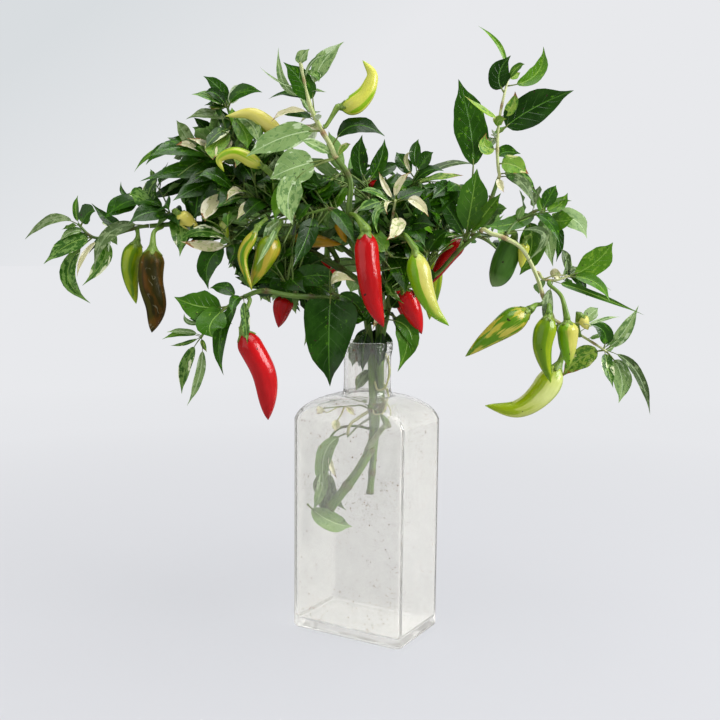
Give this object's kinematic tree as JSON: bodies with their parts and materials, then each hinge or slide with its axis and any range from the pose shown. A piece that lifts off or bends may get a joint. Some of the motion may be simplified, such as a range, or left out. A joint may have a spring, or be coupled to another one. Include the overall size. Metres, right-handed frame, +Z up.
{
  "type": "cut chilli pepper stems in a glass bottle",
  "caption": "Cut fruiting stems of a chilli pepper plant, with arching boughs, leaf sprays and hanging fruit, standing in a clear square-sided glass bottle.",
  "frame": {"origin": "middle of the bottle's flat underside, level with what it stands on", "axes": "+Z up; the bottle's wide sides face along Y and its narrow sides along X"},
  "size_m": [0.3623, 0.2723, 0.412],
  "materials": {
    "glass": "clear moulded glass, faintly hazy with dried water marks",
    "stem": "smooth ribbed green stem",
    "leaf": "soft waxy leaf, dark green, many patched with cream",
    "red": "glossy waxy red skin",
    "green": "glossy waxy green skin",
    "striped": "glossy waxy skin, yellow-green with darker stripes",
    "yellow": "glossy waxy yellow skin with green stripes",
    "olive": "glossy waxy olive-brown skin"
  },
  "bodies": {
    "root": {"bottle": "glass", "bough_back_left": "stem", "bough_back_right": "stem", "bough_centre": "stem", "bough_drop": "stem", "bough_front_left": "stem", "bough_left": "stem", "bough_right": "stem", "bough_top": "stem", "bough_upper_left": "stem", "bough_upright": "stem", "pepper_cream_hanging": "striped", "pepper_cream_upper": "yellow", "pepper_dark_green": "green", "pepper_green_back": "green", "pepper_green_hanging": "green", "pepper_green_left": "green", "pepper_hook": "striped", "pepper_ochre": "yellow", "pepper_olive": "olive", "pepper_pale_curved": "green", "pepper_red_back": "red", "pepper_red_centre": "red", "pepper_red_left": "red", "pepper_red_right": "red", "pepper_red_slant": "red", "pepper_red_small": "red", "pepper_striped_front": "striped", "pepper_striped_right": "striped", "pepper_upright": "striped", "pepper_yellow": "yellow", "spray_back_left": "leaf", "spray_back_low": "leaf", "spray_back_right": "leaf", "spray_back_top": "leaf", "spray_centre_low": "leaf", "spray_centre_right": "leaf", "spray_far_left": "leaf", "spray_front": "leaf", "spray_front_mid": "leaf", "spray_inside": "leaf", "spray_left": "leaf", "spray_left_front": "leaf", "spray_left_upper": "leaf", "spray_low_left": "leaf", "spray_mid_left": "leaf", "spray_neck": "leaf", "spray_right_low": "leaf", "spray_right_mid": "leaf", "spray_right_outer": "leaf", "spray_right_tip": "leaf", "spray_star": "leaf", "spray_top": "leaf", "spray_top_centre": "leaf", "spray_under": "leaf", "spray_upper_left": "leaf", "spray_upright": "leaf", "stem_main": "stem", "stem_second": "stem", "stem_third": "stem"}
  },
  "joints": []
}
